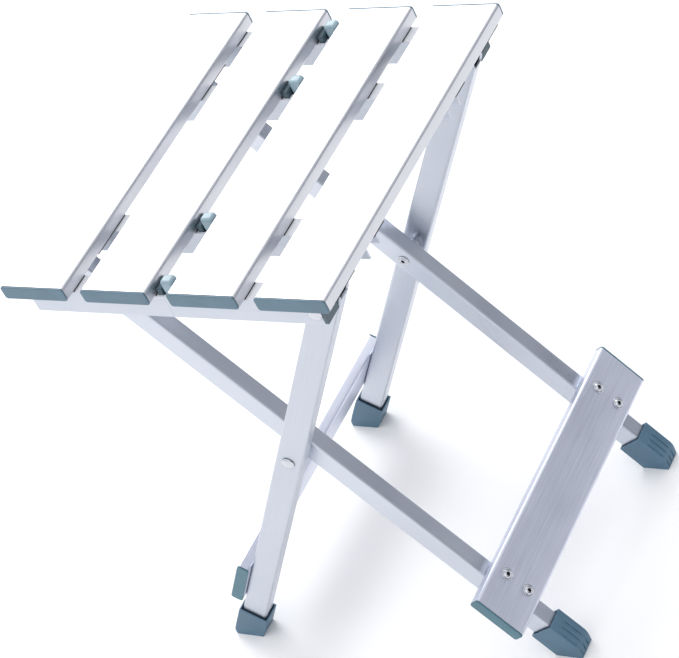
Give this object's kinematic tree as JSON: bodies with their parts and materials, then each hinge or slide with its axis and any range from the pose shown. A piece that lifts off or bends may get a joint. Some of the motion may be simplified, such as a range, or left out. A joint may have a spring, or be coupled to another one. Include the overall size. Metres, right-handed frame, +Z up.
{
  "type": "folding stool",
  "caption": "Folding stool with an aluminium slat seat hinged across the middle and two crossed leg frames that close like scissors.",
  "frame": {"origin": "on the floor under the middle of the seat", "axes": "+Z up, +Y along the slats, +X across the slats towards the panel that carries frame A"},
  "size_m": [0.275, 0.262, 0.377],
  "materials": {
    "slat_metal": "satin brushed, grain along the slat",
    "rail_metal": "satin anodised extrusion",
    "rivet_steel": "polished rivet heads",
    "cap_plastic": "moulded, grey teal",
    "hinge_plastic": "moulded, light grey teal",
    "boot_plastic": "moulded, dark grey teal"
  },
  "bodies": {
    "seat_right": {"slat_3": "slat_metal", "slat_4": "slat_metal", "slat_3_cap_near": "cap_plastic", "slat_3_cap_far": "cap_plastic", "slat_4_cap_near": "cap_plastic", "slat_4_cap_far": "cap_plastic", "rail_right_outer_near": "rail_metal", "rail_right_inner_near": "rail_metal", "rail_right_inner_far": "rail_metal", "rail_right_outer_far": "rail_metal", "hinge_tongue_outer_near": "hinge_plastic", "hinge_tongue_inner_near": "hinge_plastic", "hinge_tongue_inner_far": "hinge_plastic", "hinge_tongue_outer_far": "hinge_plastic", "rail_plug_outer_near": "cap_plastic", "rail_plug_outer_far": "cap_plastic", "pivot_a_near": "rivet_steel", "pivot_a_far": "rivet_steel"},
    "seat_left": {"slat_1": "slat_metal", "slat_2": "slat_metal", "slat_1_cap_near": "cap_plastic", "slat_1_cap_far": "cap_plastic", "slat_2_cap_near": "cap_plastic", "slat_2_cap_far": "cap_plastic", "rail_left_outer_near": "rail_metal", "rail_left_inner_near": "rail_metal", "rail_left_inner_far": "rail_metal", "rail_left_outer_far": "rail_metal", "hinge_fork_outer_near": "hinge_plastic", "hinge_fork_inner_near": "hinge_plastic", "hinge_fork_inner_far": "hinge_plastic", "hinge_fork_outer_far": "hinge_plastic", "rail_plug_inner_near": "cap_plastic", "rail_plug_inner_far": "cap_plastic", "pivot_b_near": "rivet_steel", "pivot_b_far": "rivet_steel"},
    "frame_a": {"frame_a_plate": "slat_metal", "frame_a_leg_near": "rail_metal", "frame_a_leg_far": "rail_metal", "frame_a_boot_near": "boot_plastic", "frame_a_boot_far": "boot_plastic", "frame_a_plate_cap_near": "cap_plastic", "frame_a_plate_cap_far": "cap_plastic", "cross_rivet_near": "rivet_steel", "cross_rivet_far": "rivet_steel"},
    "frame_b": {"frame_b_plate": "slat_metal", "frame_b_leg_near": "rail_metal", "frame_b_leg_far": "rail_metal", "frame_b_boot_near": "boot_plastic", "frame_b_boot_far": "boot_plastic", "frame_b_plate_cap_near": "cap_plastic", "frame_b_plate_cap_far": "cap_plastic", "cross_rivet_tail_near": "rivet_steel", "cross_rivet_tail_far": "rivet_steel", "plate_rivet_upper_near": "rivet_steel", "plate_rivet_upper_far": "rivet_steel", "plate_rivet_lower_near": "rivet_steel", "plate_rivet_lower_far": "rivet_steel"}
  },
  "joints": [
    {"name": "seat_fold", "type": "hinge", "parent": "seat_right", "child": "seat_left", "pos_m": [0, 0, 0.3488], "axis": [0, -1, 0], "range_deg": [0, 178]},
    {"name": "frame_a_fold", "type": "hinge", "parent": "seat_right", "child": "frame_a", "pos_m": [0.103, 0, 0.3575], "axis": [0, -1, 0], "range_deg": [0, 119]},
    {"name": "frame_b_fold", "type": "hinge", "parent": "seat_left", "child": "frame_b", "pos_m": [-0.103, 0, 0.3575], "axis": [0, 1, 0], "range_deg": [0, 119]}
  ],
  "couplings": [
    {"joint": "frame_a_fold", "follows": "seat_fold", "ratio": 0.6674},
    {"joint": "frame_b_fold", "follows": "seat_fold", "ratio": 0.6674}
  ]
}
